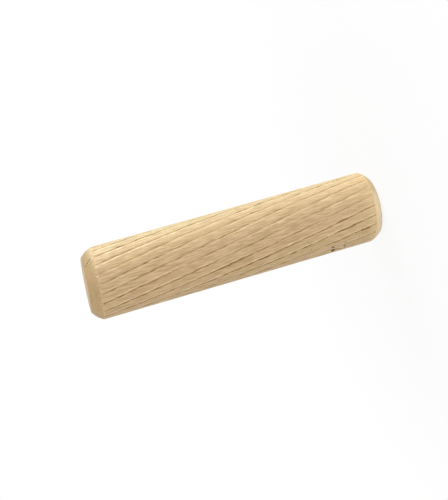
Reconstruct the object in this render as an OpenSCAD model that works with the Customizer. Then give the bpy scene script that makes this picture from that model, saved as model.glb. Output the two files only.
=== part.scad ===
// Spiral-fluted wooden dowel pin, standing on its lower end face.
// The axis is Z and the origin is the centre of the lower end face.

/* [Stock] */
// Length, from end face to end face
dowel_length = 35; // [20:0.5:100]
// Diameter over the lands between the flutes
dowel_diameter = 8.2; // [6:0.1:16]
// Beech, pale and slightly warm
beech_colour = [0.83, 0.70, 0.50];

/* [Chamfered ends] */
// Length of each chamfer along the axis
chamfer_length = 1; // [0.5:0.05:2]
// How far each chamfer runs in from the wall
chamfer_depth = 0.8; // [0.4:0.05:1.6]
// Radius worn on the edge where a chamfer meets the wall
shoulder_radius = 0.3; // [0.05:0.05:0.6]
// Radius worn on the edge where a chamfer meets its end face
rim_radius = 0.15; // [0.05:0.05:0.3]

/* [Spiral flutes] */
// How many flutes run side by side round the wall
flute_count = 23; // [8:1:26]
// Length in which one flute would go once round, left-handed
flute_lead = 146; // [80:1:600]
// Width of a flute over its pressed-down sides
flute_width = 0.4; // [0.3:0.02:0.7]
// Depth of the pressed sides where the crease begins
flute_dip = 0.035; // [0.01:0.005:0.08]
// Width of the narrow crease down the middle of a flute
crease_width = 0.15; // [0.08:0.01:0.26]
// Depth of the crease, from the wall to its bottom
crease_depth = 0.14; // [0.1:0.01:0.3]
// Angle from +X of one crease at half the length
flute_start = 9.5; // [0:0.5:45]

/* [Torn flake] */
// Height of the lower edge of the place where a flake has split off
flake_height = 5.2; // [3:0.1:15]
// Length of that place along the axis
flake_length = 1; // [0.5:0.1:3]
// Angle of its middle from +X, round the axis
flake_angle = -160; // [-180:1:180]
// Depth at the lower edge, where the split runs out
flake_low_depth = 0.1; // [0.05:0.01:0.2]
// Depth at the upper edge, where the flake broke away
flake_high_depth = 0.2; // [0.1:0.01:0.4]

/* [Hidden] */

wall_radius = dowel_diameter / 2;
rim = wall_radius - chamfer_depth;          // radius of an end face, before its edge is worn
arc_steps = 4;                              // straight pieces in a worn edge
flute_slices = 18;                          // straight pieces in a flute along the dowel
overrun = 1;                                // how far a cutter passes the stock
flute_run = dowel_length + 2 * overrun;
flute_twist = 360 * flute_run / flute_lead; // a positive twist is left-handed

function unit(v) = v / norm(v);

// Points of the arc that rounds corner b of the path a, b, c
function worn_edge(a, b, c, radius) =
    let (back = unit(a - b),
         ahead = unit(c - b),
         half_angle = acos(back * ahead) / 2,
         centre = b + unit(back + ahead) * radius / sin(half_angle),
         start = b + back * radius / tan(half_angle) - centre,
         finish = b + ahead * radius / tan(half_angle) - centre,
         first = atan2(start[1], start[0]),
         sweep = atan2(cross(start, finish), start * finish))
    [for (i = [0 : arc_steps])
        let (angle = first + sweep * i / arc_steps)
        centre + radius * [cos(angle), sin(angle)]];

// Lower half of the outline, from the end face up to the wall
function lower_outline() =
    let (face_centre = [0, 0],
         face_corner = [rim, 0],
         shoulder = [wall_radius, chamfer_length],
         wall_middle = [wall_radius, dowel_length / 2])
    concat(worn_edge(face_centre, face_corner, shoulder, rim_radius),
           worn_edge(face_corner, shoulder, wall_middle, shoulder_radius));

function upper_outline() =
    let (lower = lower_outline())
    [for (i = [len(lower) - 1 : -1 : 0]) [lower[i][0], dowel_length - lower[i][1]]];

// Turned blank: straight wall, two chamfers, worn edges
module blank() {
    rotate_extrude($fn = 96)
        polygon(concat([[0, 0]], lower_outline(), upper_outline(), [[0, dowel_length]]));
}

// Section of one flute, with the crease pointing at the axis; its sides rise straight out past the wall
module flute_section() {
    dip = [wall_radius - flute_dip, crease_width / 2];
    side = [wall_radius, flute_width / 2] - dip;
    clear = dip + 2 * side;
    polygon([
        [wall_radius - crease_depth, 0],
        dip,
        clear,
        [clear[0], -clear[1]],
        [dip[0], -dip[1]]
    ]);
}

// One left-handed flute, longer than the stock at both ends
module flute() {
    translate([0, 0, -overrun])
        rotate([0, 0, flute_twist / 2])
            linear_extrude(height = flute_run, twist = flute_twist, slices = flute_slices)
                flute_section();
}

// The split under the lost flake: a plane that leans in towards its upper edge
module flake_split() {
    lean = atan2(flake_high_depth - flake_low_depth, flake_length);
    rotate([0, 0, flake_angle])
        translate([wall_radius - flake_low_depth, 0, flake_height])
            rotate([0, -lean, 0])
                translate([0, -wall_radius, 0])
                    cube([overrun, 2 * wall_radius, flake_length]);
}

module dowel() {
    color(beech_colour)
        difference() {
            blank();
            for (i = [0 : flute_count - 1])
                rotate([0, 0, flute_start + i * 360 / flute_count])
                    flute();
            flake_split();
        }
}

dowel();
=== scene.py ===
import bmesh
import bpy
import math
from mathutils import Matrix, Vector


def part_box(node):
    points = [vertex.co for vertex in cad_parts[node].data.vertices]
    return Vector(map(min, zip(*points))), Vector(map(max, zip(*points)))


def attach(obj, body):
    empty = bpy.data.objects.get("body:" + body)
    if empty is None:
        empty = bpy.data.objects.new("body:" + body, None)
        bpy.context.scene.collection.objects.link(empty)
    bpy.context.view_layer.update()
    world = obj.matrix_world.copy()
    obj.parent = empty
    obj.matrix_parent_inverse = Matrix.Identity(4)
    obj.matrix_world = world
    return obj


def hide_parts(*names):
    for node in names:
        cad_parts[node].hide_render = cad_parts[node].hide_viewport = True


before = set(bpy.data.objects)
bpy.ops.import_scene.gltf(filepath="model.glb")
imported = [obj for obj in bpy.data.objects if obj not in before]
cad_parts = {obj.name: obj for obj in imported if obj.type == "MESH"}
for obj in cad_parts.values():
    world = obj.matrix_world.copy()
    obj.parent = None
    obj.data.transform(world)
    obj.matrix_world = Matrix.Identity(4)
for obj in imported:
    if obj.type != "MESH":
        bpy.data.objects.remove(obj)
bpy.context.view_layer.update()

mm = 0.001

# Shape of the dowel, in millimetres and degrees
dowel = {
    "fluteCount": 23,
    "twistPerMm": 2.475,          # left-handed
    "creaseAngle": 8.5,           # one crease from +X, at half the length
    "creaseDepth": 0.068,
    # half a flute, from its crease outwards: angle, share of the depth, share of the wander
    "fluteColumns": [
        (0.0, 1.0, 1.0),
        (0.56, 0.64, 1.0),
        (1.12, 0.32, 1.0),
        (2.0, 0.12, 0.9),
        (2.9, 0.04, 0.7),
        (4.4, 0.0, 0.4),
        (6.1, 0.0, 0.15),
        (7.826, 0.0, 0.0),
    ],
    "wallCuts": (15, 15),         # rings cut into the wall, in two passes
    "faceRings": (2.6, 1.8, 0.9),
    "faceEdge": 3.0,              # marks stay outside this radius
    "wander": 0.12,               # how far creases stray sideways
    "relief": 0.005,              # how deep the fibres lie
    "plainEnds": 0.5,             # flutes don't wander this close to the shoulders
    "plainFade": 0.6,
    # lengths of the stray, of the changing depth and of the fibres, across and along the dowel
    "wanderSize": (0.45, 2.4),
    "pressSize": (0.5, 1.6),
    "fibreSize": (0.16, 1.6),
    "smoothAngle": 40,
}

# The two ends: heights of shoulder and face, how much they rise towards +X and +Y in degrees, radius of
# the rim, how far the chamfer bulges, and how far shoulder and rim are worn round, in millimetres
ends = {
    "head": {"shoulder": 33.49, "face": 34.735, "shoulderRise": (-5.0, -0.5), "faceRise": (-4.45, -1.63),
             "rim": 3.11, "bulge": 0.11, "shoulderWear": 0.45, "rimWear": 0.18},
    "foot": {"shoulder": 1.17, "face": 0.16, "shoulderRise": (-3.9, 2.2), "faceRise": (-2.6, 0.5),
             "rim": 3.4, "bulge": 0.05, "shoulderWear": 0.28, "rimWear": 0.12},
}

# Where a flake has torn off, in millimetres and degrees
flake = {
    "height": 5.08,
    "length": 1.07,
    "angle": -160.0,
    "lowDepth": 0.08,
    "highDepth": 0.19,
}

# Small torn and stained places, with painted shade and painted highlights, in millimetres and degrees;
# below nothing, a mark is pale
marks = [
    {"z": 6.43, "angle": -160.2, "length": 0.95, "width": 0.8, "depth": 0.15, "dark": 0.95},
    {"z": 6.47, "angle": -148.0, "length": 0.95, "width": 0.24, "depth": 0.1, "dark": 0.95, "lean": 8},
    {"z": 6.44, "angle": -153.6, "length": 0.5, "width": 0.12, "depth": 0.0, "dark": -0.8},
    # painted shade along the lower edge of the torn flake
    {"z": 5.75, "angle": -163.5, "length": 0.9, "width": 0.3, "depth": 0.04, "dark": 0.45},
    {"z": 5.12, "angle": -156.2, "length": 0.14, "width": 0.75, "depth": 0.04, "dark": 0.65},
    {"z": 5.11, "angle": -143.9, "length": 0.3, "width": 0.2, "depth": 0.03, "dark": 0.55},
    {"z": 7.33, "angle": -122.2, "length": 0.32, "width": 0.19, "depth": 0.06, "dark": 0.8},
    {"z": 7.15, "angle": -119.8, "length": 0.45, "width": 0.16, "depth": 0.0, "dark": -0.7},
    {"z": 9.32, "angle": -136.8, "length": 0.26, "width": 0.2, "depth": 0.04, "dark": 0.45},
    {"z": 3.42, "angle": -139.0, "length": 0.4, "width": 0.14, "depth": 0.03, "dark": 0.45},
    {"z": 5.75, "angle": -117.0, "length": 1.2, "width": 0.14, "depth": 0.04, "dark": 0.55},
    {"z": 5.9, "angle": -115.0, "length": 1.2, "width": 0.13, "depth": 0.0, "dark": -0.6},
    {"z": 3.04, "angle": -126.9, "length": 0.8, "width": 0.14, "depth": 0.04, "dark": 0.45},
    {"z": 5.1, "angle": -70.6, "length": 0.75, "width": 0.12, "depth": 0.05, "dark": 0.45},
    {"z": 5.65, "angle": -86.8, "length": 0.4, "width": 0.14, "depth": 0.04, "dark": 0.5},
    {"z": 10.1, "angle": -128.6, "length": 0.6, "width": 0.14, "depth": 0.04, "dark": 0.45},
    # painted highlights where the lands meet the head's shoulder
    {"z": 33.24, "angle": -64.9, "length": 0.7, "width": 0.13, "depth": 0.0, "dark": -0.8},
    {"z": 33.63, "angle": -80.0, "length": 0.24, "width": 0.22, "depth": 0.0, "dark": -0.8},
    {"z": 33.88, "angle": -46.5, "length": 0.6, "width": 0.15, "depth": 0.04, "dark": 1.0, "lean": 37},
    {"z": 34.2, "angle": -50.5, "length": 0.5, "width": 0.15, "depth": 0.03, "dark": 0.9, "lean": 37},
    {"z": 34.1, "angle": -54.0, "length": 0.45, "width": 0.12, "depth": 0.03, "dark": 0.5, "lean": 37},
    {"z": 34.0, "angle": -50.2, "length": 0.6, "width": 0.12, "depth": 0.0, "dark": -0.8, "lean": 37},
    {"z": 12.6, "angle": 34.0, "length": 0.5, "width": 0.16, "depth": 0.05, "dark": 0.7},
    {"z": 24.3, "angle": 96.0, "length": 0.7, "width": 0.15, "depth": 0.04, "dark": 0.6},
    {"z": 27.9, "angle": 141.0, "length": 0.3, "width": 0.2, "depth": 0.06, "dark": 0.8},
]

# Where the painted shade in a crease and the painted highlight on its lip are stronger (above nothing) or
# softer: number of the crease counted from the one at creaseAngle, height and length in millimetres,
# and how many creases wide
shadeAndHighlightSpots = [
    {"crease": -11, "z": 2.5, "length": 4.0, "wide": 1, "change": 0.4},
    {"crease": -11, "z": 7.2, "length": 2.5, "wide": 1, "change": 0.5},
    {"crease": -11, "z": 9.9, "length": 3.5, "wide": 1, "change": -0.5},
    {"crease": -11, "z": 13.0, "length": 4.0, "wide": 1, "change": 0.6},
    {"crease": -10, "z": 3.0, "length": 5.0, "wide": 1, "change": 0.7},
    {"crease": -10, "z": 13.5, "length": 9.0, "wide": 1, "change": 0.6},
    {"crease": -10, "z": 20.5, "length": 4.0, "wide": 1, "change": -0.3},
    {"crease": -9, "z": 6.0, "length": 5.0, "wide": 1, "change": 0.3},
    {"crease": -9, "z": 9.8, "length": 3.0, "wide": 1, "change": -0.4},
    {"crease": -9, "z": 15.8, "length": 7.0, "wide": 1, "change": 0.5},
    {"crease": -9, "z": 22.0, "length": 8.0, "wide": 1, "change": 1.0},
    {"crease": -8, "z": 5.0, "length": 10.0, "wide": 1, "change": -0.7},
    {"crease": -8, "z": 18.5, "length": 8.0, "wide": 1, "change": 0.4},
    {"crease": -8, "z": 28.5, "length": 5.0, "wide": 1, "change": 0.4},
    {"crease": -7, "z": 7.5, "length": 3.5, "wide": 1, "change": -0.2},
    {"crease": -7, "z": 11.2, "length": 7.0, "wide": 1, "change": -0.7},
    {"crease": -7, "z": 18.5, "length": 7.0, "wide": 1, "change": -0.5},
    {"crease": -7, "z": 31.5, "length": 4.0, "wide": 1, "change": 0.6},
    {"crease": -6, "z": 9.7, "length": 5.0, "wide": 1, "change": -0.8},
    {"crease": -6, "z": 18.0, "length": 12.0, "wide": 1, "change": -0.2},
    {"crease": -6, "z": 23.8, "length": 5.0, "wide": 1, "change": -0.7},
    {"crease": -5, "z": 5.0, "length": 6.0, "wide": 1, "change": 0.2},
    {"crease": -5, "z": 9.7, "length": 4.0, "wide": 1, "change": -0.6},
    {"crease": -4, "z": 5.5, "length": 8.0, "wide": 1, "change": 1.7},
    {"crease": -4, "z": 21.5, "length": 8.0, "wide": 1, "change": -0.5},
    {"crease": -4, "z": 27.5, "length": 3.5, "wide": 1, "change": 0.5},
    {"crease": -3, "z": 13.5, "length": 9.0, "wide": 1, "change": 1.8},
    {"crease": -3, "z": 23.5, "length": 5.0, "wide": 1, "change": -0.6},
    {"crease": -2, "z": 20.0, "length": 11.0, "wide": 1, "change": 1.3},
    {"crease": -2, "z": 31.5, "length": 4.0, "wide": 1, "change": 0.6},
    {"crease": -1, "z": 28.5, "length": 10.0, "wide": 1, "change": 1.9},
    {"crease": 0, "z": 30.0, "length": 11.0, "wide": 1, "change": 3.0},
    {"crease": 1, "z": 31.5, "length": 8.0, "wide": 1, "change": 2.5},
    {"crease": -3.6, "z": 33.6, "length": 2.6, "wide": 4, "change": -0.9},
    {"crease": -7, "z": 1.2, "length": 4.0, "wide": 3.5, "change": -0.7},
]


def deselectEverything():
    bpy.ops.object.select_all(action="DESELECT")


def selectOnly(piece):
    deselectEverything()
    bpy.context.view_layer.objects.active = piece
    piece.select_set(True)


def startEditing(piece):
    selectOnly(piece)
    bpy.ops.object.mode_set(mode="EDIT")


def stopEditing():
    bpy.ops.object.mode_set(mode="OBJECT")


# Each pick selects what passes its test, which is given places in millimetres
def pickPoints(piece, test):
    bpy.ops.mesh.select_mode(type="VERT")
    bpy.ops.mesh.select_all(action="DESELECT")
    mesh = bmesh.from_edit_mesh(piece.data)
    for point in mesh.verts:
        point.select = test(point.co / mm)
    mesh.select_flush_mode()
    bmesh.update_edit_mesh(piece.data)


def pickEdges(piece, test):
    bpy.ops.mesh.select_mode(type="EDGE")
    bpy.ops.mesh.select_all(action="DESELECT")
    mesh = bmesh.from_edit_mesh(piece.data)
    for edge in mesh.edges:
        edge.select = test(edge.verts[0].co / mm, edge.verts[1].co / mm)
    mesh.select_flush_mode()
    bmesh.update_edit_mesh(piece.data)


def pickFaces(piece, test):
    bpy.ops.mesh.select_mode(type="FACE")
    bpy.ops.mesh.select_all(action="DESELECT")
    mesh = bmesh.from_edit_mesh(piece.data)
    for face in mesh.faces:
        face.select = test(face.calc_center_median() / mm, face.normal)
    mesh.select_flush_mode()
    bmesh.update_edit_mesh(piece.data)


def turnPicked(angle, axis, centre=(0, 0, 0), lean=0):
    # right-handed turn about an axis of a frame that is itself turned by lean round Z
    bpy.ops.transform.rotate(
        value=math.radians(angle), orient_axis=axis, orient_type="GLOBAL",
        orient_matrix=Matrix.Rotation(math.radians(lean), 3, "Z"), orient_matrix_type="GLOBAL",
        constraint_axis=tuple(axis == name for name in "XYZ"), center_override=centre)


def angleOf(place):
    return math.degrees(math.atan2(place.y, place.x))


def wrapped(angle, turn):
    return (angle + turn / 2) % turn - turn / 2


def wornEdge(before, corner, after, radius, steps):
    # points of the arc that rounds one corner of an outline
    back = (before - corner).normalized()
    ahead = (after - corner).normalized()
    half = back.angle(ahead) / 2
    centre = corner + (back + ahead).normalized() * radius / math.sin(half)
    start = corner + back * radius / math.tan(half) - centre
    finish = corner + ahead * radius / math.tan(half) - centre
    arc = []
    for step in range(steps + 1):
        share = step / steps
        arc.append(centre + (start * (1 - share) + finish * share).normalized() * radius)
    return arc


def endOutline(radius, end):
    # radius and depth below the end face, going from the wall to the middle of the face
    height = abs(end["face"] - end["shoulder"])
    shoulder = Vector((radius, height))
    wall = shoulder + Vector((0.0, 1.0))
    rim = Vector((end["rim"], 0.0))
    outward = Vector((height, end["rim"] - radius)).normalized() * end["bulge"]
    slope = [shoulder.lerp(rim, share) + outward * 4 * share * (1 - share) for share in (0.2, 0.4, 0.6, 0.8)]
    outline = wornEdge(wall, shoulder, slope[0], end["shoulderWear"], 4) + slope[1:3]
    outline += wornEdge(slope[3], rim, Vector((0.0, 0.0)), end["rimWear"], 3)
    outline += [Vector((ring, 0.0)) for ring in dowel["faceRings"]]
    return outline


def turnEnd(piece, outline, facing):
    # extrudes an end face through the outline, then closes it on a point in the middle
    pickFaces(piece, lambda place, normal: normal.z * facing > 0.9)
    last = outline[0]
    for ring in outline[1:]:
        rise = (last.y - ring.y) * facing * mm
        narrowing = ring.x / last.x
        bpy.ops.mesh.extrude_region_move(TRANSFORM_OT_translate={"value": (0, 0, rise)})
        bpy.ops.transform.resize(value=(narrowing, narrowing, 1), center_override=(0, 0, 0))
        last = ring
    bpy.ops.mesh.poke()


def risePicked(rise, height, turn):
    # tips what is picked, so that it rises by so many degrees towards +X and +Y of a turned frame
    turnPicked(-rise[0], "Y", (0, 0, height * mm), turn)
    turnPicked(rise[1], "X", (0, 0, height * mm), turn)


def leanEnd(piece, radius, end, wallEnd):
    # tips the whole end with its shoulder, then each ring of the chamfer a step further towards the face
    turn = dowel["twistPerMm"] * end["shoulder"]
    middle = (ends["head"]["shoulder"] + ends["foot"]["shoulder"]) / 2
    facing = math.copysign(1, end["shoulder"] - middle)

    pickPoints(piece, lambda place: (place.z - wallEnd) * facing > -0.01)
    risePicked(end["shoulderRise"], end["shoulder"], turn)
    steps = (1 / 6, 1 / 2, 5 / 6)
    extra = [(face - shoulder) / len(steps) for face, shoulder in zip(end["faceRise"], end["shoulderRise"])]
    for step in steps:
        ring = radius + (end["rim"] - radius) * step
        pickPoints(piece, lambda place: (place.z - middle) * facing > 0 and place.xy.length < ring)
        risePicked(extra, end["face"], turn)


def gatherColumns(piece, firstAngle):
    # moves the wall's evenly spread columns closer to their crease
    columns = dowel["fluteColumns"]
    pitch = 360 / dowel["fluteCount"]
    perFlute = 2 * (len(columns) - 1)
    places = {}
    for column in range(2 - len(columns), len(columns)):
        places[column % perFlute] = math.copysign(columns[abs(column)][0], column) - column * pitch / perFlute

    def columnOf(place):
        return round((angleOf(place) - firstAngle) / pitch * perFlute) % perFlute

    mesh = bmesh.from_edit_mesh(piece.data)
    found = {point.index: columnOf(point.co) for point in mesh.verts}
    bpy.ops.mesh.select_mode(type="VERT")
    for column, shift in places.items():
        if abs(shift) < 0.001:
            continue
        bpy.ops.mesh.select_all(action="DESELECT")
        mesh = bmesh.from_edit_mesh(piece.data)
        for point in mesh.verts:
            point.select = found[point.index] == column
        mesh.select_flush_mode()
        turnPicked(shift, "Z")


def addWeights(piece, name, weightOf):
    group = piece.vertex_groups.new(name=name)
    for point in piece.data.vertices:
        weight = weightOf(point.co / mm)
        if weight > 0:
            group.add([point.index], weight, "REPLACE")


def stretchedSpace(name, across, along):
    # an empty that stretches a texture along the dowel
    bpy.ops.object.empty_add(location=(0, 0, 0))
    space = bpy.context.object
    space.name = name
    space.scale = (across * mm, across * mm, along * mm)
    return space


def cloudTexture(name, depth, colour="GRAYSCALE", brightness=1.0, contrast=1.0):
    texture = bpy.data.textures.new(name, "CLOUDS")
    texture.noise_scale = 1.0
    texture.noise_depth = depth
    texture.cloud_type = colour
    texture.intensity = brightness
    texture.contrast = contrast
    return texture


def displaceBy(piece, texture, space, group, strength, level, direction="NORMAL"):
    modifier = piece.modifiers.new(texture.name, "DISPLACE")
    modifier.texture = texture
    modifier.texture_coords = "OBJECT"
    modifier.texture_coords_object = space
    modifier.vertex_group = group
    modifier.strength = strength * mm
    modifier.mid_level = level
    modifier.direction = direction


def applyModifiers(piece):
    selectOnly(piece)
    for modifier in list(piece.modifiers):
        bpy.ops.object.modifier_apply(modifier=modifier.name)


def makeDowel():
    lowest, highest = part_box("dowel")
    length = (highest.z - lowest.z) / mm
    radius = (highest.x - lowest.x) / 2 / mm
    columns = dowel["fluteColumns"]
    headOutline = endOutline(radius, ends["head"])
    footOutline = endOutline(radius, ends["foot"])
    wallTop = ends["head"]["face"] - headOutline[0].y
    wallFoot = ends["foot"]["face"] + footOutline[0].y

    # straight wall with its columns gathered at the creases, and both ends turned on it
    deselectEverything()
    bpy.ops.mesh.primitive_cylinder_add(
        vertices=dowel["fluteCount"] * 2 * (len(columns) - 1), radius=radius * mm,
        depth=(wallTop - wallFoot) * mm, location=(0, 0, (wallTop + wallFoot) / 2 * mm), calc_uvs=False)
    piece = bpy.context.object
    piece.name = "flutedDowel"
    bpy.ops.object.transform_apply(location=True, rotation=True, scale=True)
    firstAngle = angleOf(piece.data.vertices[0].co)
    startEditing(piece)
    gatherColumns(piece, firstAngle)
    turnEnd(piece, headOutline, 1)
    turnEnd(piece, footOutline, -1)
    stopEditing()

    # the rings that will be cut into the wall take this weight over
    addWeights(piece, "wall", lambda place: (
        1.0 if place.xy.length > radius - 0.001 and wallFoot - 0.01 < place.z < wallTop + 0.01 else 0.0))
    startEditing(piece)

    # one crease goes to its angle, as the twist will later turn the wall about the foot
    middleTwist = dowel["twistPerMm"] * length / 2
    bpy.ops.mesh.select_all(action="SELECT")
    turnPicked(dowel["creaseAngle"] + middleTwist - firstAngle, "Z")

    leanEnd(piece, radius, ends["head"], wallTop)
    leanEnd(piece, radius, ends["foot"], wallFoot)
    print("dowel: ends turned and leaned")

    # rings across the wall
    for cuts in dowel["wallCuts"]:
        pickEdges(piece, lambda one, other: abs(one.z - other.z) > 1)
        bpy.ops.mesh.subdivide(number_cuts=cuts)
    stopEditing()
    print("dowel: wall cut into", len(piece.data.polygons), "faces")
    return piece, length, radius


def shapeFlutes(piece, length, radius):
    pitch = 360 / dowel["fluteCount"]
    columns = dowel["fluteColumns"]
    creaseStart = dowel["creaseAngle"] + dowel["twistPerMm"] * length / 2
    crown = radius - dowel["creaseDepth"]
    wallGroup = piece.vertex_groups["wall"].index
    depthItem, wanderItem = 1, 2

    def share(place, item):
        offset = abs(wrapped(angleOf(place) - creaseStart, pitch))
        for near, far in zip(columns, columns[1:]):
            if offset <= far[0]:
                return near[item] + (far[item] - near[item]) * (offset - near[0]) / (far[0] - near[0])
        return columns[-1][item]

    def awayFromEnds(place):
        # falls to nothing before the wall ends
        lowest = ends["foot"]["shoulder"] + dowel["plainEnds"]
        highest = ends["head"]["shoulder"] - dowel["plainEnds"]
        return max(0.0, min(1.0, min(place.z - lowest, highest - place.z) / dowel["plainFade"]))

    # where each point lies across its flute, kept before the wall is twisted
    places = [point.co / mm for point in piece.data.vertices]
    turns = [wrapped(angleOf(place) - creaseStart, pitch) / pitch * 2 * math.pi for place in places]
    wall = [any(item.group == wallGroup for item in point.groups) for point in piece.data.vertices]
    for name in ("round", "crease", "wander"):
        piece.vertex_groups.new(name=name)
    for index, (place, onWall) in enumerate(zip(places, wall)):
        weights = {"crease": share(place, depthItem)}
        if onWall:
            weights["round"] = awayFromEnds(place)
            weights["wander"] = share(place, wanderItem) * awayFromEnds(place)
        else:
            weights["crease"] *= max(0.0, min(1.0, (place.xy.length - crown) / dowel["creaseDepth"]))
        for name, weight in weights.items():
            piece.vertex_groups[name].add([index], weight, "REPLACE")

    twist = piece.modifiers.new("twist", "SIMPLE_DEFORM")
    twist.deform_method = "TWIST"
    twist.deform_axis = "Z"
    twist.angle = -math.radians(dowel["twistPerMm"] * length)

    wanderSpace = stretchedSpace("wanderSpace", *dowel["wanderSize"])
    pressSpace = stretchedSpace("pressSpace", *dowel["pressSize"])
    fibreSpace = stretchedSpace("fibreSpace", *dowel["fibreSize"])
    displaceBy(
        piece, cloudTexture("wander", 1, "COLOR"), wanderSpace,
        "wander", dowel["wander"], 0.5, "RGB_TO_XYZ")
    roundness = piece.modifiers.new("roundness", "CAST")
    roundness.cast_type = "CYLINDER"
    roundness.use_z = False
    roundness.factor = 1.0
    roundness.size = radius * mm
    roundness.use_radius_as_size = False
    roundness.vertex_group = "round"
    displaceBy(
        piece, cloudTexture("creaseStrength", 2, brightness=1.15, contrast=1.6), pressSpace,
        "crease", -dowel["creaseDepth"], 0.0)
    displaceBy(
        piece, cloudTexture("fibreRelief", 2), fibreSpace,
        "wall", -dowel["relief"], 0.0)
    applyModifiers(piece)
    for space in (wanderSpace, pressSpace, fibreSpace):
        bpy.data.objects.remove(space)
    piece.vertex_groups.clear()
    print("dowel: flutes pressed and twisted")
    return turns, wall


def tearFlake(piece, radius):
    # flattens what stands in front of a plane that leans in towards its upper edge
    lean = math.atan2(flake["highDepth"] - flake["lowDepth"], flake["length"])
    facing = Matrix.Rotation(math.radians(flake["angle"]), 3, "Z") @ Matrix.Rotation(-lean, 3, "Y")
    outward = facing.col[0]
    foot = Matrix.Rotation(math.radians(flake["angle"]), 3, "Z") @ Vector((radius - flake["lowDepth"], 0, 0))
    foot.z = flake["height"]
    top = flake["height"] + flake["length"]
    startEditing(piece)
    pickPoints(piece, lambda place: flake["height"] < place.z < top and (place - foot).dot(outward) > 0)
    bpy.ops.transform.resize(
        value=(0, 1, 1), orient_type="GLOBAL", orient_matrix=facing, orient_matrix_type="GLOBAL",
        constraint_axis=(True, False, False), center_override=foot * mm)
    stopEditing()
    print("dowel: flake torn off")


def markShare(mark, place, radius):
    # 1 in the middle of a mark, 0 outside it
    along = (place.z - mark["z"]) / mark["length"] * 2
    across = math.radians(wrapped(angleOf(place) - mark["angle"], 360)) * radius / mark["width"] * 2
    return max(0.0, 1 - math.hypot(along, across) ** 2)


def pressMarks(piece, radius):
    # each mark is pressed in three steps, every one smaller than the last
    steps = (0.15, 0.5, 0.8)
    startEditing(piece)
    for mark in marks:
        push = 1 - mark["depth"] / len(steps) / radius
        for step in steps:
            pickPoints(piece, lambda place: (
                place.xy.length > dowel["faceEdge"] and markShare(mark, place, radius) > step))
            bpy.ops.transform.resize(value=(push, push, 1), center_override=(0, 0, 0))
    stopEditing()
    print("dowel: small marks pressed in")


def addFlutePlaces(piece, length, turns, wall):
    # flute holds the place across its flute as a turn of 360 degrees, and how strong the painted shade in the
    # crease and the painted highlight on its lip are
    pitch = 360 / dowel["fluteCount"]

    def paintSpotShare(spot, place):
        # 1 in the middle of a spot that follows its crease, 0 outside it
        middle = dowel["creaseAngle"] + pitch * spot["crease"] - dowel["twistPerMm"] * (place.z - length / 2)
        across = wrapped(angleOf(place) - middle, 360) / pitch / spot["wide"] * 2
        return max(0.0, 1 - math.hypot((place.z - spot["z"]) / spot["length"] * 2, across) ** 2)

    flutes = []
    for point, turn, onWall in zip(piece.data.vertices, turns, wall):
        place = point.co / mm
        shadeAndHighlight = 1.0 + sum(spot["change"] * paintSpotShare(spot, place) for spot in shadeAndHighlightSpots)
        flutes += [math.cos(turn), math.sin(turn), max(0.0, shadeAndHighlight) if onWall else 0.0]
    piece.data.attributes.new("flute", "FLOAT_VECTOR", "POINT").data.foreach_set("vector", flutes)


piece, length, radius = makeDowel()
turns, wall = shapeFlutes(piece, length, radius)
tearFlake(piece, radius)
pressMarks(piece, radius)
addFlutePlaces(piece, length, turns, wall)
selectOnly(piece)
bpy.ops.object.shade_smooth_by_angle(angle=math.radians(dowel["smoothAngle"]))
print("dowel:", sum(len(face.vertices) - 2 for face in piece.data.polygons), "triangles")

# Finish of the wood. Colours are as they look on screen, 0 to 255.
beech = {
    "straw": (205, 176, 130),
    "rose": (207, 175, 133),
    "late": (190, 160, 116),
    "ray": (178, 146, 102),
    "vessel": (158, 126, 84),
    # painted shade in the creases
    "crease": (98, 60, 0),
    # painted highlight on the lips beside the creases; also the colour of pale marks
    "paleAndHighlight": (248, 225, 190),
    # painted shade: a yellow tint multiplied in beside the creases
    "creaseShadeTint": (255, 250, 228),
    # painted shade on the head's chamfer and painted light on the foot's, each painted darker towards +X
    "headChamferShade": (196, 164, 118),
    "headShade": (168, 140, 96),
    "footChamferLight": (255, 243, 214),
    "footShade": (196, 168, 125),
    # painted light beside the foot; also the colour of the rubbed shoulder edges
    "worn": (252, 222, 172),
    # painted light: a tint on the side towards +X, which the key lamp lights
    "litSideTint": (246, 255, 250),     # multiplied in on the yellower side, towards +X
    "face": (206, 180, 140),
    # stains, and painted shade at the flake's edge
    "stainAndShade": (84, 40, 0),
    "pith": (31.0, 26.0, 0.0),    # where the middle of the tree was, in millimetres
    "ringWidth": 1.9,
    # how fine these patterns are, per millimetre across and along the dowel
    "fibreScale": (9.5, 9.5, 0.6),
    "strokeScale": (6.5, 6.5, 0.4),
    "vesselScale": (13.0, 13.0, 1.5),
    "tornScale": (4.4, 4.4, 0.6),
    "fibreLight": (-0.17, 0.16),
    "strokeLight": (-0.03, 0.03),
    "lightShares": (1.0, 1.16, 1.5),    # how much fibres change red, green and blue
    "rayShare": 0.1,
    "tornShift": 0.34,            # how far torn fibres move a crease, in millimetres
    "creaseWidth": (0.045, 0.014),      # half its width, and what a full press adds, in millimetres
    "creaseShadeShare": 0.83,
    # painted highlight: where the lit side of the lips changes round the dowel, following the light
    "highlightSwapAngle": -97.0,          # raised lips change sides here, in degrees
    "lipPlace": 0.21,             # middle of a lip beside its crease, in millimetres
    "lipHighlightShare": 0.62,
    "gloss": 0.4,
    "bump": 0.45,
    "bumpHeight": 0.00003,        # metres
}


def screenColour(name):
    linear = []
    for level in beech[name]:
        share = level / 255
        linear.append(share / 12.92 if share <= 0.04045 else ((share + 0.055) / 1.055) ** 2.4)
    return (*linear, 1.0)


# Short ways to place nodes: each takes sockets or plain values, and gives back an output socket
def addNode(tree, kind, values=(), **settings):
    node = tree.nodes.new(kind)
    for name, value in settings.items():
        setattr(node, name, value)
    for socket, value in zip(node.inputs, values):
        if value is None:
            continue
        if isinstance(value, bpy.types.NodeSocket):
            tree.links.new(value, socket)
        else:
            socket.default_value = value
    return node


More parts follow.
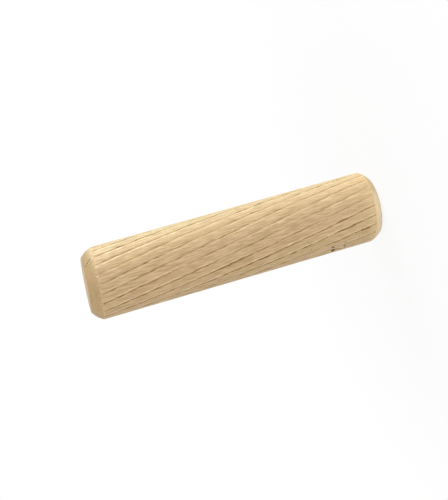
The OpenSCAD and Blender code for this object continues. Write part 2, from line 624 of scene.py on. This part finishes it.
def sums(tree, operation, *values, clamp=False):
    return addNode(tree, "ShaderNodeMath", values, operation=operation, use_clamp=clamp).outputs[0]


def places(tree, operation, *values):
    return addNode(tree, "ShaderNodeVectorMath", values, operation=operation).outputs[0]


def partsOf(tree, place):
    return addNode(tree, "ShaderNodeSeparateXYZ", (place,)).outputs


def noise(tree, place, scale, detail=2.0, roughness=0.5):
    stretched = places(tree, "MULTIPLY", place, scale)
    node = addNode(tree, "ShaderNodeTexNoise")
    tree.links.new(stretched, node.inputs["Vector"])
    node.inputs["Scale"].default_value = 1.0
    node.inputs["Detail"].default_value = detail
    node.inputs["Roughness"].default_value = roughness
    return node.outputs["Fac"]


def ease(tree, value, low, high, toLow=0.0, toHigh=1.0):
    settings = {"interpolation_type": "SMOOTHSTEP"}
    return addNode(tree, "ShaderNodeMapRange", (value, low, high, toLow, toHigh), **settings).outputs["Result"]


def blend(tree, amount, under, over, mode="MIX"):
    node = addNode(tree, "ShaderNodeMix", data_type="RGBA", blend_type=mode)
    for socket, value in ((node.inputs[0], amount), (node.inputs[6], under), (node.inputs[7], over)):
        if isinstance(value, bpy.types.NodeSocket):
            tree.links.new(value, socket)
        else:
            socket.default_value = value
    return node.outputs[2]


def startGroup(name, inputs, outputs):
    tree = bpy.data.node_groups.new(name, "ShaderNodeTree")
    for label, kind in inputs:
        tree.interface.new_socket(name=label, in_out="INPUT", socket_type=kind)
    for label, kind in outputs:
        tree.interface.new_socket(name=label, in_out="OUTPUT", socket_type=kind)
    return tree, tree.nodes.new("NodeGroupInput").outputs, tree.nodes.new("NodeGroupOutput").inputs


def makeFigureGroup():
    # growth rings, rays, fibres and vessels of solid beech, its trunk along Z, with places in millimetres
    tree, given, result = startGroup(
        "beechFigure",
        [("Place", "NodeSocketVector"), ("Along Flutes", "NodeSocketVector"),
         ("End Grain", "NodeSocketFloat")],
        [("Colour", "NodeSocketColor"), ("Height", "NodeSocketFloat"), ("Fibres", "NodeSocketFloat")])
    place, endGrain = given["Place"], given["End Grain"]

    # rings round the pith, a little uneven, and a slow change from straw to rose
    sway = noise(tree, place, (0.11, 0.11, 0.022))
    fromPith = places(tree, "ADD", place, beech["pith"])
    flat = places(tree, "MULTIPLY", fromPith, (1.0, 1.0, 0.0))
    distance = addNode(tree, "ShaderNodeVectorMath", (flat,), operation="LENGTH").outputs["Value"]
    uneven = sums(tree, "MULTIPLY_ADD", sway, 2.4, distance)
    ring = sums(tree, "FRACT", sums(tree, "DIVIDE", uneven, beech["ringWidth"]))
    lateWood = sums(tree, "MULTIPLY", ease(tree, ring, 0.45, 0.92), ease(tree, ring, 1.0, 0.93))
    tone = noise(tree, given["Along Flutes"], (0.55, 0.55, 0.07), 1.0)
    colour = blend(tree, ease(tree, tone, 0.35, 0.65), screenColour("straw"), screenColour("rose"))
    lateShare = sums(tree, "MULTIPLY_ADD", endGrain, 0.35, 0.12)
    colour = blend(tree, sums(tree, "MULTIPLY", lateWood, lateShare), colour, screenColour("late"))

    # rays are thin across the rings, and lie along them as short dashes on a tangential face
    parts = partsOf(tree, fromPith)
    around = sums(tree, "MULTIPLY", sums(tree, "ARCTAN2", parts[1], parts[0]), 40.0)
    rayPlace = addNode(tree, "ShaderNodeCombineXYZ", (
        sums(tree, "MULTIPLY", distance, 0.22), sums(tree, "MULTIPLY", around, 2.9),
        sums(tree, "MULTIPLY", parts[2], 0.8))).outputs[0]
    cells = addNode(tree, "ShaderNodeTexVoronoi", distance="EUCLIDEAN", feature="F1")
    tree.links.new(rayPlace, cells.inputs["Vector"])
    cells.inputs["Scale"].default_value = 1.0
    chosen = ease(tree, partsOf(tree, cells.outputs["Color"])[0], 0.5, 0.62)
    ray = sums(tree, "MULTIPLY", ease(tree, cells.outputs["Distance"], 0.34, 0.16), chosen)
    colour = blend(tree, sums(tree, "MULTIPLY", ray, beech["rayShare"]), colour, screenColour("ray"))

    # fine fibres along the trunk, and strokes that the fluting tool drew along the flutes
    fibres = noise(tree, place, beech["fibreScale"], 2.0, 0.6)
    strokes = noise(tree, given["Along Flutes"], beech["strokeScale"], 2.0, 0.6)
    vessels = ease(tree, noise(tree, place, beech["vesselScale"], 1.0), 0.62, 0.72)
    light = sums(
        tree, "ADD", ease(tree, fibres, 0.34, 0.66, *beech["fibreLight"]),
        ease(tree, strokes, 0.34, 0.66, *beech["strokeLight"]))
    shade = addNode(tree, "ShaderNodeCombineXYZ", [
        sums(tree, "MULTIPLY_ADD", light, share, 1.0) for share in beech["lightShares"]]).outputs[0]
    colour = blend(tree, 1.0, colour, shade, "MULTIPLY")
    depth = sums(tree, "MULTIPLY_ADD", endGrain, 0.3, 0.25)
    colour = blend(tree, sums(tree, "MULTIPLY", vessels, depth), colour, screenColour("vessel"))
    height = sums(tree, "ADD", fibres, sums(tree, "MULTIPLY", strokes, 0.7))
    height = sums(tree, "SUBTRACT", height, sums(tree, "MULTIPLY", vessels, 0.6))
    tree.links.new(colour, result["Colour"])
    tree.links.new(height, result["Height"])
    tree.links.new(fibres, result["Fibres"])
    return tree


def makeSawGroup():
    # marks of the saw over an end face and of the cutter round a chamfer
    tree, given, result = startGroup(
        "cutterMarks",
        [("Place", "NodeSocketVector"), ("End Grain", "NodeSocketFloat")],
        [("Face", "NodeSocketFloat"), ("Chamfer", "NodeSocketFloat")])
    place = given["Place"]
    parts = partsOf(tree, place)
    drift = noise(tree, place, (0.5, 0.5, 0.5), 1.0)
    across = sums(tree, "ADD", sums(tree, "MULTIPLY", parts[0], 0.35), parts[1])
    stroke = sums(tree, "SINE", sums(tree, "MULTIPLY_ADD", drift, 9.0, sums(tree, "MULTIPLY", across, 21.0)))
    torn = ease(tree, noise(tree, place, (2.2, 7.0, 2.2), 2.0), 0.35, 0.65)
    onFace = ease(tree, given["End Grain"], 0.85, 0.98)
    face = sums(tree, "MULTIPLY", sums(tree, "MULTIPLY", stroke, torn), onFace)
    along = sums(tree, "MULTIPLY", parts[2], 34.0)
    turning = sums(tree, "SINE", sums(tree, "MULTIPLY_ADD", drift, 5.0, along))
    onChamfer = sums(
        tree, "MULTIPLY", ease(tree, given["End Grain"], 0.35, 0.55),
        ease(tree, given["End Grain"], 0.85, 0.75))
    chamfer = sums(tree, "MULTIPLY", turning, onChamfer)
    tree.links.new(face, result["Face"])
    tree.links.new(chamfer, result["Chamfer"])
    return tree


def makeCreaseGroup():
    # painted shade in a pressed crease, and a painted highlight on its raised lip, both stepped by the fibres
    # they cross
    tree, given, result = startGroup(
        "pressedCrease",
        [("Place", "NodeSocketVector"), ("Flute", "NodeSocketVector"), ("Pitch", "NodeSocketFloat")],
        [("Dark", "NodeSocketFloat"), ("Lip Highlight", "NodeSocketFloat"), ("Near", "NodeSocketFloat")])
    place = given["Place"]
    turn = partsOf(tree, given["Flute"])
    shadeAndHighlight = turn[2]

    # signed distance from the crease in millimetres, shifted where fibres tore instead of bending
    perTurn = sums(tree, "DIVIDE", given["Pitch"], 2 * math.pi)
    across = sums(tree, "MULTIPLY", sums(tree, "ARCTAN2", turn[1], turn[0]), perTurn)
    torn = sums(tree, "SUBTRACT", noise(tree, place, beech["tornScale"], 2.0, 0.6), 0.5)
    across = sums(tree, "MULTIPLY_ADD", torn, beech["tornShift"], across)
    away = sums(tree, "ABSOLUTE", across)

    # strength and width change along the crease, and the painted shade is stronger towards -X, away from the
    # key lamp
    patchy = ease(tree, noise(tree, place, (0.8, 0.8, 0.3), 2.0), 0.32, 0.68, 0.56, 0.92)
    broken = ease(tree, noise(tree, place, (5.0, 5.0, 0.9), 1.0), 0.3, 0.6, 0.66, 0.97)
    strength = sums(tree, "MULTIPLY", sums(tree, "MULTIPLY", patchy, broken), shadeAndHighlight)
    parts = partsOf(tree, place)
    strength = sums(tree, "MULTIPLY", strength, ease(tree, parts[0], -3.0, 2.5, 1.2, 0.7), clamp=True)
    narrow, widening = beech["creaseWidth"]
    width = sums(tree, "MULTIPLY_ADD", strength, widening, narrow)
    outside, inside = sums(tree, "MULTIPLY", width, 1.6), sums(tree, "MULTIPLY", width, 0.2)
    line = ease(tree, away, outside, inside)
    dark = sums(tree, "MULTIPLY", line, strength, clamp=True)
    near = sums(tree, "MULTIPLY", ease(tree, away, 0.22, 0.04), strength)

    # painted highlight: the lit lip lies on one side of its crease round half of the dowel, and on the other
    # side round the rest
    angle = sums(tree, "ARCTAN2", parts[1], parts[0])
    fromHighlightSwap = sums(tree, "SUBTRACT", angle, math.radians(beech["highlightSwapAngle"]))
    lowSide = ease(tree, sums(tree, "SINE", fromHighlightSwap), -0.35, 0.35)

    def lipOn(side):
        aside = sums(tree, "ABSOLUTE", sums(tree, "SUBTRACT", across, beech["lipPlace"] * side))
        return ease(tree, aside, 0.1, 0.015)

    highLip = sums(tree, "MULTIPLY", lipOn(1), sums(tree, "MULTIPLY_ADD", lowSide, -1.3, 1.3))
    paleAndHighlight = sums(tree, "ADD", highLip, sums(tree, "MULTIPLY", lipOn(-1), lowSide))
    patches = ease(tree, noise(tree, place, (1.1, 1.1, 0.35), 2.0), 0.35, 0.6, 0.15, 1.0)
    dashes = ease(tree, noise(tree, place, (5.0, 5.0, 0.8), 1.0), 0.35, 0.6, 0.45, 1.0)
    uneven = sums(tree, "MULTIPLY", sums(tree, "MULTIPLY", patches, dashes), shadeAndHighlight)
    paleAndHighlight = sums(tree, "MULTIPLY", paleAndHighlight, uneven, clamp=True)
    tree.links.new(dark, result["Dark"])
    tree.links.new(near, result["Near"])
    tree.links.new(paleAndHighlight, result["Lip Highlight"])
    return tree


def stainsAndShadeOf(tree, place):
    # up to 1 in the middle of a dark mark, and down to minus 1 in a pale one
    total = 0.0
    reach = 3.0    # how far below the surface a mark goes, in millimetres
    for mark in marks:
        turn = math.radians(mark["angle"])
        spot = addNode(tree, "ShaderNodeMapping", vector_type="TEXTURE")
        tree.links.new(place, spot.inputs["Vector"])
        spot.inputs["Location"].default_value = (radius * math.cos(turn), radius * math.sin(turn), mark["z"])
        spot.inputs["Rotation"].default_value = (math.radians(mark.get("lean", 0)), 0, turn)
        spot.inputs["Scale"].default_value = (reach, mark["width"] / 2, mark["length"] / 2)
        away = spot.outputs[0]
        square = addNode(tree, "ShaderNodeVectorMath", (away, away), operation="DOT_PRODUCT").outputs["Value"]
        inside = sums(tree, "SUBTRACT", 1.0, square, clamp=True)
        total = sums(tree, "MULTIPLY_ADD", inside, mark["dark"], total)
    return total


def makeBeech():
    material = bpy.data.materials.new("flutedBeech")
    material.use_nodes = True
    tree = material.node_tree
    shader = tree.nodes["Principled BSDF"]
    coordinates = addNode(tree, "ShaderNodeTexCoord").outputs
    place = places(tree, "MULTIPLY", coordinates["Object"], (1 / mm, 1 / mm, 1 / mm))
    sideways, _, height = partsOf(tree, place)
    untwist = sums(tree, "MULTIPLY", height, math.radians(dowel["twistPerMm"]))
    turned = addNode(tree, "ShaderNodeVectorRotate", rotation_type="Z_AXIS")
    tree.links.new(place, turned.inputs["Vector"])
    tree.links.new(untwist, turned.inputs["Angle"])
    upward = partsOf(tree, coordinates["Normal"])[2]
    endGrain = sums(tree, "ABSOLUTE", upward)
    flute = addNode(tree, "ShaderNodeAttribute", attribute_name="flute").outputs["Vector"]

    def placeGroup(group, **given):
        node = addNode(tree, "ShaderNodeGroup", node_tree=group)
        for name, value in given.items():
            tree.links.new(value, node.inputs[name.replace("_", " ")])
        return node

    alongFlutes = turned.outputs[0]
    figure = placeGroup(makeFigureGroup(), Place=place, Along_Flutes=alongFlutes, End_Grain=endGrain).outputs
    cut = placeGroup(makeSawGroup(), Place=place, End_Grain=endGrain).outputs
    creases = placeGroup(makeCreaseGroup(), Place=place, Flute=flute)
    creases.inputs["Pitch"].default_value = 2 * math.pi * radius / dowel["fluteCount"]
    crease = creases.outputs

    # painted light and shade on the chamfers: the head's painted darker, most towards +X, and the foot's
    # painted paler, with painted shade towards +X
    bevelled = sums(tree, "MULTIPLY", ease(tree, endGrain, 0.3, 0.58), ease(tree, endGrain, 0.95, 0.8))
    lower = ease(tree, upward, 0.1, -0.1)
    headShaded = ease(tree, sideways, 0.0, 3.4)
    footShaded = ease(tree, sideways, -1.2, 3.3)
    headChamferShade = blend(tree, headShaded, screenColour("headChamferShade"), screenColour("headShade"))
    footChamferLight = blend(tree, footShaded, screenColour("footChamferLight"), screenColour("footShade"))
    mottled = ease(tree, noise(tree, place, (0.9, 0.9, 1.6), 3.0), 0.35, 0.65, 0.92, 1.06)
    chamferLightAndShade = blend(tree, 1.0, blend(tree, lower, headChamferShade, footChamferLight), mottled, "MULTIPLY")
    colour = blend(tree, sums(tree, "MULTIPLY", bevelled, 0.8), figure["Colour"], chamferLightAndShade)

    # painted light: the wall is painted paler beside the foot, most towards -X, and a little paler towards the
    # foot, and painted yellower towards +X, the side the key lamp lights
    aboveFoot = sums(tree, "MULTIPLY_ADD", sideways, 0.068, height)
    paintedFootLight = sums(
        tree, "MULTIPLY", ease(tree, aboveFoot, 2.4, 1.2), ease(tree, sideways, 3.5, -2.5, 0.06, 0.34))
    colour = blend(tree, paintedFootLight, colour, screenColour("worn"))
    colour = blend(tree, ease(tree, sideways, 3.0, 4.1, 0.0, 0.7), colour, screenColour("litSideTint"), "MULTIPLY")
    colour = blend(tree, ease(tree, height, 12.0, 2.0, 0.0, 0.1), colour, screenColour("worn"))

    # end faces, and the shoulder edges, rubbed pale and with a painted highlight, most of all at the foot
    colour = blend(tree, ease(tree, endGrain, 0.82, 0.97, 0.0, 0.7), colour, screenColour("face"))
    corner = sums(tree, "MULTIPLY", ease(tree, endGrain, 0.06, 0.22), ease(tree, endGrain, 0.5, 0.3))
    rubbedAndLit = ease(tree, noise(tree, place, (1.6, 1.6, 1.6), 3.0), 0.35, 0.62, 0.3, 1.0)
    rubbedAndLit = sums(tree, "MULTIPLY", rubbedAndLit, ease(tree, lower, 0.0, 1.0, 0.2, 1.0))
    colour = blend(tree, sums(tree, "MULTIPLY", corner, rubbedAndLit), colour, screenColour("worn"))

    # painted shade in the creases, tinted yellow beside them, and painted highlights on their raised lips
    colour = blend(tree, crease["Near"], colour, screenColour("creaseShadeTint"), "MULTIPLY")
    lipHighlightShare = sums(tree, "MULTIPLY", crease["Lip Highlight"], beech["lipHighlightShare"])
    colour = blend(tree, lipHighlightShare, colour, screenColour("paleAndHighlight"))
    creaseShadeShare = sums(tree, "MULTIPLY", crease["Dark"], beech["creaseShadeShare"])
    colour = blend(tree, creaseShadeShare, colour, screenColour("crease"))

    # stains, painted shade and pale marks, some of them painted highlights, with outlines that fray along the
    # fibres
    fraying = addNode(tree, "ShaderNodeTexNoise", (places(tree, "MULTIPLY", place, (5.5, 5.5, 1.6)),))
    fraying.inputs["Scale"].default_value = 1.0
    shift = places(tree, "SUBTRACT", fraying.outputs["Color"], (0.5, 0.5, 0.5))
    frayed = places(tree, "ADD", place, places(tree, "MULTIPLY", shift, (0.4, 0.4, 0.6)))
    stainedAndShaded = stainsAndShadeOf(tree, frayed)
    uneven = sums(tree, "MULTIPLY_ADD", noise(tree, place, (7.0, 7.0, 3.0)), 0.5, -0.25)
    stainAndShade = ease(tree, sums(tree, "ADD", stainedAndShaded, uneven), 0.2, 0.55)
    pale = ease(tree, sums(tree, "SUBTRACT", uneven, stainedAndShaded), 0.2, 0.55)
    colour = blend(tree, pale, colour, screenColour("paleAndHighlight"))
    colour = blend(tree, stainAndShade, colour, screenColour("stainAndShade"))
    tree.links.new(colour, shader.inputs["Base Color"])
    tree.links.new(ease(tree, figure["Fibres"], 0.3, 0.7, 0.62, 0.48), shader.inputs["Roughness"])
    shader.inputs["Specular IOR Level"].default_value = beech["gloss"]

    relief = figure["Height"]
    for part, share in (
            (cut["Face"], 0.3), (cut["Chamfer"], 0.25), (crease["Lip Highlight"], 0.8), (crease["Dark"], -1.2)):
        relief = sums(tree, "MULTIPLY_ADD", part, share, relief)
    bump = addNode(tree, "ShaderNodeBump")
    bump.inputs["Strength"].default_value = beech["bump"]
    bump.inputs["Distance"].default_value = beech["bumpHeight"]
    tree.links.new(relief, bump.inputs["Height"])
    tree.links.new(bump.outputs["Normal"], shader.inputs["Normal"])
    return material


piece.data.materials.append(makeBeech())
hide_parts("dowel")
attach(piece, "root")
print("material: beech")

# Camera: place in metres, turn in degrees
view = {
    "place": (0.0, -0.12677, 0.043163),
    "aim": (-0.000335, 0.0, 0.018522),
    "roll": -106.005,
    "lens": 81.289,               # millimetres
    "sensor": 36,
    "nearest": 0.005,             # metres
    "farthest": 10,
}

# Lamps: place, size in metres, power in watts, colour; each one faces the middle of the dowel
lamps = {
    "key": {"place": (0.353, 0.062, 0.045), "size": 0.3, "power": 1.65, "colour": (0.93, 1.0, 1.0)},
    "front": {"place": (0.0, -0.358, 0.05), "size": 0.3, "power": 0.35, "colour": (1.0, 1.0, 1.0)},
}
lampAim = (0, 0, 0.0175)
room = {
    "light": 0.66,
    "floorSize": 6,
    "floorColour": (0.95, 0.95, 0.95, 1),
    "floorRoughness": 0.9,
    "shadow": (0.006, 0.05),      # metres from the middle, between which the shadow fades out
    "floorWhite": (0.88, 1.0),    # how white the camera sees the floor, at those two distances
}


def makeCamera():
    data = bpy.data.cameras.new("camera")
    camera = bpy.data.objects.new("camera", data)
    bpy.context.collection.objects.link(camera)
    data.lens = view["lens"]
    data.sensor_width = view["sensor"]
    data.clip_start = view["nearest"]
    data.clip_end = view["farthest"]
    place = Vector(view["place"])
    facing = (Vector(view["aim"]) - place).to_track_quat("-Z", "Y").to_matrix().to_4x4()
    roll = Matrix.Rotation(math.radians(view["roll"]), 4, "Z")
    camera.matrix_world = Matrix.Translation(place) @ facing @ roll
    bpy.context.scene.camera = camera


def makeLamps():
    for name, lamp in lamps.items():
        data = bpy.data.lights.new(name, "AREA")
        data.shape = "DISK"
        data.size = lamp["size"]
        data.energy = lamp["power"]
        data.color = lamp["colour"]
        light = bpy.data.objects.new(name, data)
        bpy.context.collection.objects.link(light)
        place = Vector(lamp["place"])
        light.location = place
        light.rotation_euler = (Vector(lampAim) - place).to_track_quat("-Z", "Y").to_euler()


def whiteToCamera(tree, plain, share):
    # a plain shader that turns towards even white where the camera, a gloss or a glass looks at it
    path = addNode(tree, "ShaderNodeLightPath").outputs
    reflected = sums(tree, "MAXIMUM", path["Is Glossy Ray"], path["Is Transmission Ray"])
    seen = sums(tree, "MAXIMUM", path["Is Camera Ray"], reflected)
    white = addNode(tree, "ShaderNodeEmission").outputs[0]
    mixed = addNode(tree, "ShaderNodeMixShader")
    tree.links.new(sums(tree, "MULTIPLY", seen, share), mixed.inputs[0])
    tree.links.new(plain, mixed.inputs[1])
    tree.links.new(white, mixed.inputs[2])
    return mixed.outputs[0]


def makeRoom():
    deselectEverything()
    bpy.ops.mesh.primitive_plane_add(size=room["floorSize"], location=(0, 0, 0))
    floor = bpy.context.object
    floor.name = "floor"
    material = bpy.data.materials.new("paleFloor")
    material.use_nodes = True
    tree = material.node_tree
    shader = tree.nodes["Principled BSDF"]
    shader.inputs["Base Color"].default_value = room["floorColour"]
    shader.inputs["Roughness"].default_value = room["floorRoughness"]
    shader.inputs["Specular IOR Level"].default_value = 0.0

    # the shadow stays round the foot of the dowel, and further out the floor runs into the white room
    spot = addNode(tree, "ShaderNodeTexCoord").outputs["Object"]
    away = addNode(tree, "ShaderNodeVectorMath", (spot,), operation="LENGTH").outputs["Value"]
    share = ease(tree, away, *room["shadow"], *room["floorWhite"])
    output = tree.nodes["Material Output"]
    tree.links.new(whiteToCamera(tree, shader.outputs[0], share), output.inputs["Surface"])
    floor.data.materials.append(material)

    world = bpy.data.worlds.new("room")
    bpy.context.scene.world = world
    world.use_nodes = True
    tree = world.node_tree
    background = tree.nodes["Background"]
    background.inputs["Color"].default_value = (1, 1, 1, 1)
    background.inputs["Strength"].default_value = room["light"]
    output = tree.nodes["World Output"]
    tree.links.new(whiteToCamera(tree, background.outputs[0], 1.0), output.inputs["Surface"])


makeCamera()
makeLamps()
makeRoom()
bpy.context.scene.view_settings.view_transform = "Standard"
print("room: camera, lamps and floor")
